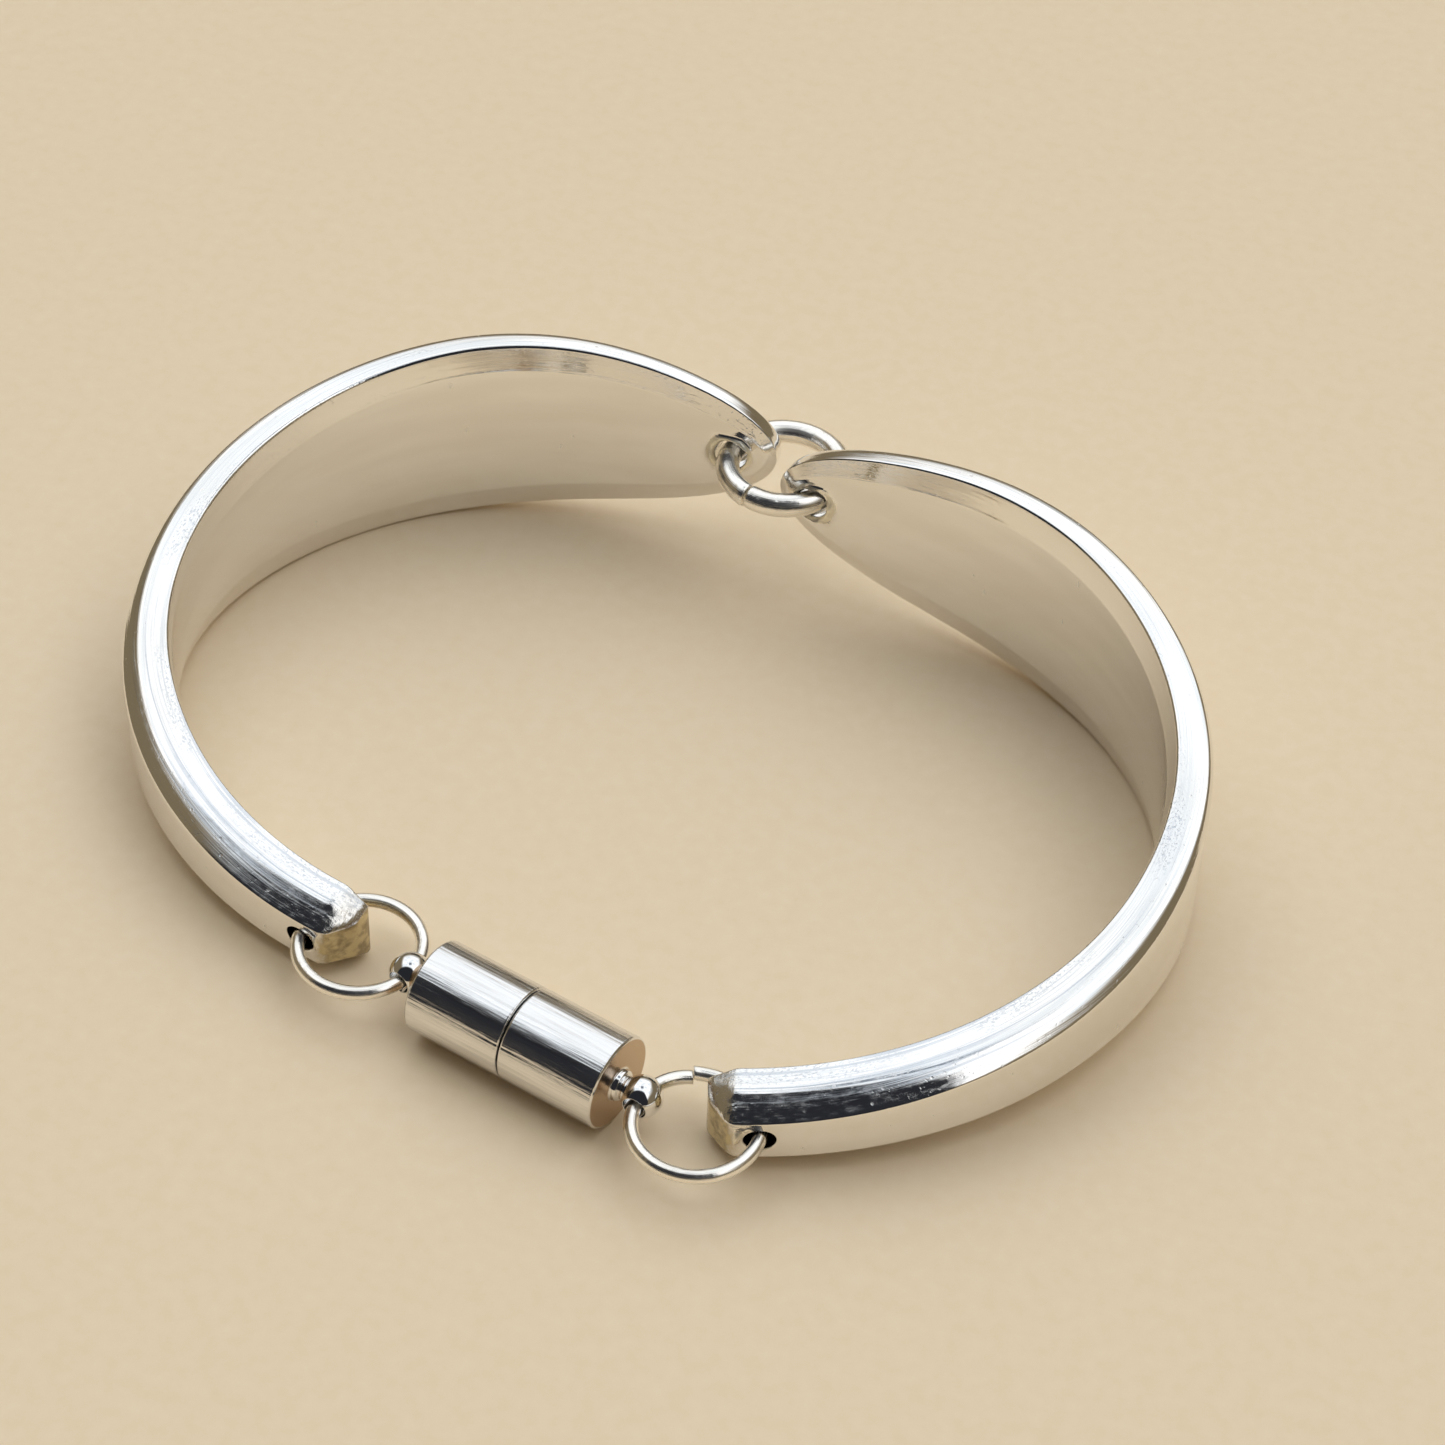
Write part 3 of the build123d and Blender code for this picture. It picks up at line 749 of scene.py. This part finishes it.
# %% [markdown]
# ## The clasp
#
# The clasp was turned on a lathe from steel, as two half barrels with a
# magnet inside each. Each half has a hairline chamfer at both ends, a short
# neck and a ball drilled across for the jump ring. A lathe's work is a profile
# spun round an axis, and so is this surface. The ball is made apart, as a
# sphere whose poles are opened to the drilled hole.

# %% The turned profile, from the seam outward: along the axis, radius
SEAM, BARREL_END = 0.05, 6.75  # from the middle of the clasp
BARREL_RADIUS = 2.994
SEAM_FACE = [
    (SEAM, 0.0), (SEAM, 1.6), (SEAM, 2.80), (0.055, 2.86), (0.075, 2.91), (0.12, 2.96), (0.17, 2.986),
]
BARREL_SIDE = [(along, BARREL_RADIUS) for along in (0.22, 0.26, 0.5, 2.0, 4.0, 6.0, 6.54, 6.58)]
FACED_END = [
    (6.63, 2.986), (6.68, 2.96), (6.725, 2.915), (6.745, 2.865), (BARREL_END, 2.80),
    (BARREL_END, 2.74), (BARREL_END, 2.2), (BARREL_END, 1.6), (BARREL_END, 1.26),
]
NECK = [
    (6.752, 1.18), (6.77, 1.11), (6.80, 1.05), (6.85, 1.015), (6.90, 1.0), (7.06, 0.995),
    (7.11, 0.975), (7.16, 0.92), (7.20, 0.84), (7.24, 0.77), (7.28, 0.75), (7.33, 0.77),
    (7.42, 0.80), (7.50, 0.79), (7.56, 0.6), (7.56, 0.0),
]
PROFILE = np.array(SEAM_FACE + BARREL_SIDE + FACED_END + NECK)
print(len(PROFILE), "points in the profile")

# %% Spin the profile and drill the ball
CLASP_MIDDLE = middle_of("clasp_half_left", "clasp_half_right")
BALL_AT, BALL_RADIUS = 8.45, 1.3
BALL_HOLE, HOLE_OUTWARD = 0.751, 0.13  # the hole's radius, and how far past the ball's middle it is
RIM_TURN = 0.03  # in radians, from the hole's edge to the first row on the ball
BALL_ROWS = np.concatenate([[0.0, 0.006, 0.02], np.linspace(0.05, 0.95, 41), [0.98, 0.994, 1.0]])
HOLE_ROWS = np.array([-0.985, -0.95, -0.5, 0.0, 0.5, 0.95, 0.985])


def along_the_clasp(local, side):
    """Points given as distance along the axis, sideways and up, put in place on one side of the seam."""
    turn = math.radians(CLASP_TURN)
    axis = np.array([math.cos(turn), math.sin(turn), 0.0])
    across = np.array([-math.sin(turn), math.cos(turn), 0.0])
    level = side * local[..., :1] * axis + local[..., 1:2] * across
    return CLASP_MIDDLE + level + local[..., 2:] * np.array([0.0, 0.0, 1.0])


def clasp_half(name, side):
    """The body is the profile's radius times the cosine and sine of v. On the ball, the angle from
    the drill's axis runs from the hole's rim on one side to the other, and the radius from the
    ball's middle is fixed; then straight lines lead back through the hole."""
    v = np.linspace(0, 2 * math.pi, 97)[:-1]
    out, radius = PROFILE[1:-1, :1], PROFILE[1:-1, 1:]
    body = np.stack([np.repeat(out, len(v), 1), radius * np.cos(v), radius * np.sin(v)], axis=-1)
    poles = np.array([[PROFILE[0, 0], 0, 0], [PROFILE[-1, 0], 0, 0]])
    table = np.arange(body[..., 0].size).reshape(body.shape[:2])
    u = np.linspace(0, 2 * math.pi, 73)[:-1]
    rim_x, rim_z = HOLE_OUTWARD + BALL_HOLE * np.cos(u), BALL_HOLE * np.sin(u)
    rim_angle = np.arcsin(np.hypot(rim_x, rim_z) / BALL_RADIUS)
    spin = np.arctan2(rim_z, rim_x)
    polar = rim_angle + RIM_TURN + BALL_ROWS[:, None] * (math.pi - 2 * (rim_angle + RIM_TURN))
    ball = BALL_RADIUS * np.stack([
        np.sin(polar) * np.cos(spin), np.cos(polar), np.sin(polar) * np.sin(spin),
    ], axis=-1)
    deep = HOLE_ROWS[:, None] * np.cos(rim_angle) * BALL_RADIUS
    through = np.stack([rim_x + 0 * deep, deep, rim_z + 0 * deep], axis=-1)
    bead = np.concatenate([ball, through]) + np.array([BALL_AT, 0, 0])
    bead_table = np.arange(bead[..., 0].size).reshape(bead.shape[:2]) + table.size + 2
    closed = np.concatenate([bead_table, bead_table[:1]])
    straight = np.concatenate([body.reshape(-1, 3), poles, bead.reshape(-1, 3)])
    quads = np.concatenate([ring_strip(table), ring_strip(closed)])
    caps = end_caps(table, table.size, table.size + 1)
    return new_piece(name, along_the_clasp(straight, side), straight, quads, caps)


clasp_left = clasp_half("left_clasp_body", -1)
clasp_right = clasp_half("right_clasp_body", 1)

# %% [markdown]
# ## Silver plate
#
# The handles are nickel silver with a polished silver plate. Years of use left
# fine lines and frosty pits on the upright edges, while the broad faces stay
# close to a mirror with a soft haze. The ground ends show file marks and the
# yellower metal under the plate. All of it is drawn in the straight bar's
# millimetres, so the lines follow the bend.

# %% Turn the size of a mark into the scale of its pattern
def marks_of(*size):
    """The scale of a pattern whose marks are this long along, across and through the metal, in
    millimetres: one over each length. An endless length means no change that way."""
    return [1 / length for length in size]


# %% End a metal and put it on its pieces
def shine(metal, colour, rough, relief_height, strength, depth, pieces):
    """Fully metallic, with a relief that is drawn as deep as given in metres."""
    net = metal.node_tree
    bump = add_node(net, "Bump", Height=relief_height, Strength=strength, Distance=depth)
    shader = add_node(net, "BsdfPrincipled", Metallic=1.0, Base_Color=colour, Roughness=rough, Normal=bump)
    add_node(net, "OutputMaterial", Surface=shader)
    for piece in pieces:
        piece.data.materials.append(metal)
    print(metal.name, "on", len(pieces), "pieces,", len(net.nodes), "nodes")


# %% Where a point lies on the straight bar
silver_plate, net = empty_material("polished silver plate")
unbent = add_node(net, "Attribute", {"attribute_name": "unbent"}).outputs["Vector"]
drilled = add_node(net, "Attribute", {"attribute_name": "drilled"}).outputs["Fac"]
spot = add_node(net, "SeparateXYZ", Vector=unbent).outputs
s_at, t_at = spot["X"], spot["Z"]
normal = add_node(net, "TexCoord").outputs["Normal"]
upright = add_node(net, "SeparateXYZ", Vector=normal).outputs["Z"]
edge_face = add_node(net, "Math", SIZE, _0=upright)
edge_face = add_node(net, "MapRange", SOFT, Value=edge_face, From_Min=0.72, From_Max=0.92)

# %% Patterns of the worn plate
noise, pattern = {}, {}
for name, size, offset, detail, (low, high), (least, most) in (
    # size of a mark; offset that tells the patterns apart; detail; the part of the noise that
    # shows; what it then gives
    ("lines", (14.29, 0.8333, 0.125), 0.0, 4.0, (0.46, 0.72), (0.0, 0.32)),  # twice as coarse as real
    ("streaks", (20.0, 2.5, 0.3846), 6.0, 3.0, (0.50, 0.62), (0.0, 0.5)),
    ("pits", (0.2222, 0.5, 0.125), 0.0, 3.0, (0.46, 0.68), (0.0, 1.0)),  # twice as coarse as real
    ("pitted places", (10.0, 5.0, 3.333), 7.0, 2.0, (0.38, 0.56), (0.0, 1.0)),
    ("haze", (16.67, 3.571, 10.0), 2.0, 4.0, (0.36, 0.68), (0.0, 0.16)),
    ("blotches", (0.9091, 0.9091, 0.9091), 5.0, 3.0, (0.40, 0.62), (0.0, 1.0)),
    ("soft places", (10.0, 2.857, 2.857), 0.0, 3.0, (0.35, 0.72), (0.05, 0.13)),
    ("blurs", (0.5556, 0.2778, 0.2778), 1.0, 5.0, (0.42, 0.70), (0.0, 0.13)),
    ("dents", (0.2857, 0.25, 0.25), 13.0, 2.0, (0.62, 0.76), (0.0, 1.0)),
):
    place = add_node(net, "Mapping", Vector=unbent, Location=[offset] * 3, Scale=marks_of(*size))
    noise[name] = add_node(net, "TexNoise", Vector=place, Scale=1.0, Detail=detail)
    pattern[name] = add_node(
        net, "MapRange", SOFT, Value=noise[name], From_Min=low, From_Max=high, To_Min=least, To_Max=most,
    )
print(len(pattern), "patterns")

# %% Marks on the edge faces
# Frosty pits on the inner half of the edge, up to the tip
inner_half = add_node(net, "MapRange", SOFT, Value=t_at, From_Min=1.2, From_Max=1.7, To_Min=1.0, To_Max=0.1)
before_tip = add_node(net, "MapRange", SOFT, Value=s_at, From_Min=50.0, From_Max=60.0, **FALLING)
pits = pattern["pits"]
for share in (pattern["pitted places"], inner_half, before_tip):
    pits = add_node(net, "Math", TIMES, _0=pits, _1=share)
pit_marks = add_node(net, "Math", TIMES, _0=pits, _1=0.55)
# One long line at the shoulder of the narrow part, 0.1 mm wide, that wanders between two depths
place = add_node(net, "Mapping", Vector=unbent, Location=[3.0] * 3, Scale=marks_of(8.333, math.inf, math.inf))
wander = add_node(net, "TexNoise", Vector=place, Scale=1.0, Detail=2.0)
line_at = add_node(net, "MapRange", Value=wander, To_Min=1.40, To_Max=1.85)
off_line = add_node(net, "Math", SIZE, _0=add_node(net, "Math", TAKE, _0=t_at, _1=line_at))
on_line = add_node(
    net, "MapRange", SOFT, Value=off_line, From_Min=0.02, From_Max=0.07, To_Min=0.6, To_Max=0.0,
)
narrow_part = add_node(
    net, "MapRange", SOFT, Value=s_at, From_Min=22.0, From_Max=30.0, To_Min=1.0, To_Max=0.15,
)
long_line = add_node(net, "Math", TIMES, _0=on_line, _1=narrow_part)
streaks = add_node(net, "Math", TIMES, _0=pattern["streaks"], _1=narrow_part)
marks = pattern["lines"]
for part in (pit_marks, long_line, streaks):
    marks = add_node(net, "Math", MOST, _0=marks, _1=part)
marks = add_node(net, "Math", TIMES, _0=marks, _1=edge_face)

# %% Colour of the plate, of the bare ends and of the drilled walls
plate = add_node(net, "Mix", COLOUR, Factor=marks, _6=linear("#FBFAF8"), _7=linear("#A9B6C6"))
# A soft haze on the broad faces, long along the bar
plate = add_node(net, "Mix", COLOUR, Factor=pattern["haze"], _6=plate, _7=linear("#C9BCA8"))
# Yellower nickel silver where the end was filed, with a worn limit
limit = add_node(
    net, "MapRange", SOFT, Value=noise["blotches"], From_Min=0.3, From_Max=0.7, To_Min=-0.3, To_Max=0.3,
)
limit = add_node(net, "Math", ADD, _0=s_at, _1=limit)
filed = add_node(net, "MapRange", SOFT, Value=limit, From_Min=1.3, From_Max=2.0, **FALLING)
off_top = add_node(
    net, "MapRange", SOFT, Value=upright, From_Min=0.10, From_Max=0.45, To_Min=0.9, To_Max=0.1,
)
bare = add_node(net, "Math", TIMES, _0=filed, _1=off_top)
alloy = add_node(
    net, "Mix", COLOUR, Factor=pattern["blotches"], _6=linear("#C8B98F"), _7=linear("#8A7A54"),
)
base = add_node(net, "Mix", COLOUR, Factor=bare, _6=plate, _7=alloy)
# What the drill pushed up stands above both faces. It is rougher, and it is painted near white as a painted
# highlight
lips = add_node(net, "MapRange", SOFT, Value=t_at, From_Min=-0.10, From_Max=-0.02, **FALLING)
burrs = add_node(net, "MapRange", SOFT, Value=t_at, From_Min=3.60, From_Max=3.72)
torn = add_node(net, "Math", MOST, _0=lips, _1=burrs)
# Painted highlight: the torn lips and burrs are painted near white
base = add_node(net, "Mix", COLOUR, Factor=torn, _6=base, _7=linear("#FFFAEA"))
# Painted shade: the walls of the front holes are painted dark brown
base = add_node(net, "Mix", COLOUR, Factor=drilled, _6=base, _7=linear("#4A3C2C"))

# %% Roughness: soft places, blurs, dents and a few short scratches
# The blurs of a third of a millimetre are strongest on the narrow part
worn_part = add_node(
    net, "MapRange", SOFT, Value=s_at, From_Min=8.0, From_Max=34.0, To_Min=1.0, To_Max=0.25,
)
blurs = add_node(net, "Math", TIMES, _0=pattern["blurs"], _1=worn_part)
place = add_node(
    net, "Mapping", Vector=unbent, Rotation=(0.35, 0.2, 0.5), Scale=marks_of(1.389, 4.167, 1.389),
)
scratches = add_node(net, "TexVoronoi", Vector=place, Scale=1.0)
scratches = add_node(net, "MapRange", SOFT, Value=scratches, From_Min=0.05, From_Max=0.09, **FALLING)
rough = pattern["soft places"]
for part, share in (
    (marks, 0.20), (filed, 0.06), (torn, 0.40), (blurs, 1.0), (pattern["dents"], 0.10), (scratches, 0.20),
):
    rough = add_node(net, "Math", TIMES_ADD, _0=part, _1=share, _2=rough)

# %% Relief of the silver plate
relief_height = add_node(net, "Math", TIMES, _0=noise["lines"], _1=0.5)
for part, share in ((pits, -0.3), (pattern["dents"], -0.15), (scratches, -0.3)):
    relief_height = add_node(net, "Math", TIMES_ADD, _0=part, _1=share, _2=relief_height)
# File marks across the ground end, drawn at 0.25 mm, twice as coarse as real
place = add_node(
    net, "Mapping", Vector=unbent, Location=[9.0] * 3, Rotation=(0.4, 0.0, 0.3),
    Scale=marks_of(0.25, 1.667, 0.8333),
)
file_marks = add_node(net, "TexNoise", Vector=place, Scale=1.0, Detail=3.0)
deep = add_node(net, "Math", TIMES, _0=filed, _1=1.6)
relief_height = add_node(net, "Math", TIMES_ADD, _0=file_marks, _1=deep, _2=relief_height)
shine(silver_plate, base, rough, relief_height, 0.6, 0.00003, (handle_left, handle_right))

# %% [markdown]
# ## Wire and steel
#
# The rings are drawn wire: the draw plate leaves faint lines along it, which
# soften what it mirrors, and pliers left a few dents. The clasp was turned and
# then brushed along its axis, which smears the mirrored room into soft
# streaks. Its faced ends are rougher and are painted a warm brown, a painted
# reflection of a table, and its necks and balls are polished.

# %% Bright wire
bright_wire, net = empty_material("bright silver wire")
unbent = add_node(net, "Attribute", {"attribute_name": "unbent"}).outputs["Vector"]
# The draw plate's lines, twice as coarse as real
place = add_node(net, "Mapping", Vector=unbent, Scale=marks_of(8.333, 0.1667, 0.1667))
draw_lines = add_node(net, "TexNoise", Vector=place, Scale=1.0, Detail=3.0)
place = add_node(net, "Mapping", Vector=unbent, Location=[4.0] * 3, Scale=marks_of(1.111, 1.429, 1.429))
dents = add_node(net, "TexNoise", Vector=place, Scale=1.0, Detail=2.0)
dents = add_node(net, "MapRange", SOFT, Value=dents, From_Min=0.5, From_Max=0.72, To_Max=-0.9)
grey = add_node(net, "MapRange", SOFT, Value=draw_lines, From_Min=0.5, From_Max=0.68, To_Max=0.3)
colour = add_node(net, "Mix", COLOUR, Factor=grey, _6=linear("#FFFCF6"), _7=linear("#D6D2C8"))
rough = add_node(
    net, "MapRange", SOFT, Value=draw_lines, From_Min=0.4, From_Max=0.7, To_Min=0.22, To_Max=0.36,
)
wire_height = add_node(net, "Math", ADD, _0=draw_lines, _1=dents)
rings = back_ring, jump_ring_left, jump_ring_right
shine(bright_wire, colour, rough, wire_height, 0.7, 0.00003, rings)

# %% Turned and brushed steel
brushed_steel, net = empty_material("brushed turned steel")
unbent = add_node(net, "Attribute", {"attribute_name": "unbent"}).outputs["Vector"]
along_axis = add_node(net, "SeparateXYZ", Vector=unbent).outputs["X"]
on_barrel = add_node(net, "MapRange", SOFT, Value=along_axis, From_Min=6.60, From_Max=6.72, **FALLING)
# The brush's lines, drawn at 0.2 mm, about three times as coarse as real
place = add_node(net, "Mapping", Vector=unbent, Scale=marks_of(6.25, 0.2222, 0.2222))
brush = add_node(net, "TexNoise", Vector=place, Scale=1.0, Detail=4.0)
place = add_node(net, "Mapping", Vector=unbent, Location=[2.0] * 3, Scale=marks_of(12.5, 0.7692, 0.7692))
soft_brush = add_node(net, "TexNoise", Vector=place, Scale=1.0, Detail=3.0)
streaks = add_node(net, "MapRange", SOFT, Value=brush, From_Min=0.44, From_Max=0.68, To_Max=0.35)
streaks = add_node(net, "Math", TIMES, _0=streaks, _1=on_barrel)
colour = add_node(net, "Mix", COLOUR, Factor=streaks, _6=linear("#F0F0F0"), _7=linear("#B9B8B6"))
# The faced ends of the barrel: rougher, and painted warm brown as a painted reflection of a table
past_barrel = add_node(net, "MapRange", SOFT, Value=along_axis, From_Min=6.735, From_Max=6.749)
before_neck = add_node(net, "MapRange", SOFT, Value=along_axis, From_Min=6.752, From_Max=6.80, **FALLING)
faced_end_and_painted_reflection = add_node(net, "Math", TIMES, _0=past_barrel, _1=before_neck)
colour = add_node(net, "Mix", COLOUR, Factor=faced_end_and_painted_reflection, _6=colour, _7=linear("#C2AB92"))
rough = add_node(
    net, "MapRange", SOFT, Value=soft_brush, From_Min=0.35, From_Max=0.7, To_Min=0.06, To_Max=0.18,
)
rough = add_node(net, "Math", TIMES_ADD, _0=rough, _1=on_barrel, _2=0.07)
rough = add_node(net, "Math", TIMES_ADD, _0=faced_end_and_painted_reflection, _1=0.15, _2=rough)
steel_height = add_node(net, "Math", ADD, _0=brush, _1=soft_brush)
steel_height = add_node(net, "Math", TIMES, _0=steel_height, _1=on_barrel)
shine(brushed_steel, colour, rough, steel_height, 0.8, 0.00004, (clasp_left, clasp_right))

# %% [markdown]
# ## Put the pieces on the moving bodies
#
# The right half swings about the back ring, so its pieces ride on the body
# named right, and the rest ride on the left one. Each piece stands for its
# own imported solid.

# %% Ride and replace
for piece, node, body, slot in (
    (handle_left, "handle_left", "left", "silver_plate"),
    (handle_right, "handle_right", "right", "silver_plate"),
    (back_ring, "back_ring", "left", "ring_silver"),
    (jump_ring_left, "jump_ring_left", "left", "ring_silver"),
    (jump_ring_right, "jump_ring_right", "right", "ring_silver"),
    (clasp_left, "clasp_half_left", "left", "clasp_steel"),
    (clasp_right, "clasp_half_right", "right", "clasp_steel"),
):
    low, high = (np.array(corner) * 1000 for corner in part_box(node))
    points = np.empty(len(piece.data.vertices) * 3, np.float32)
    piece.data.vertices.foreach_get("co", points)
    points = points.reshape(-1, 3) * 1000
    over = np.concatenate([low - points.min(axis=0), points.max(axis=0) - high])
    print(piece.name, "past its solid's box by", over.round(3))
    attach(piece, body)
    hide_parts(node)
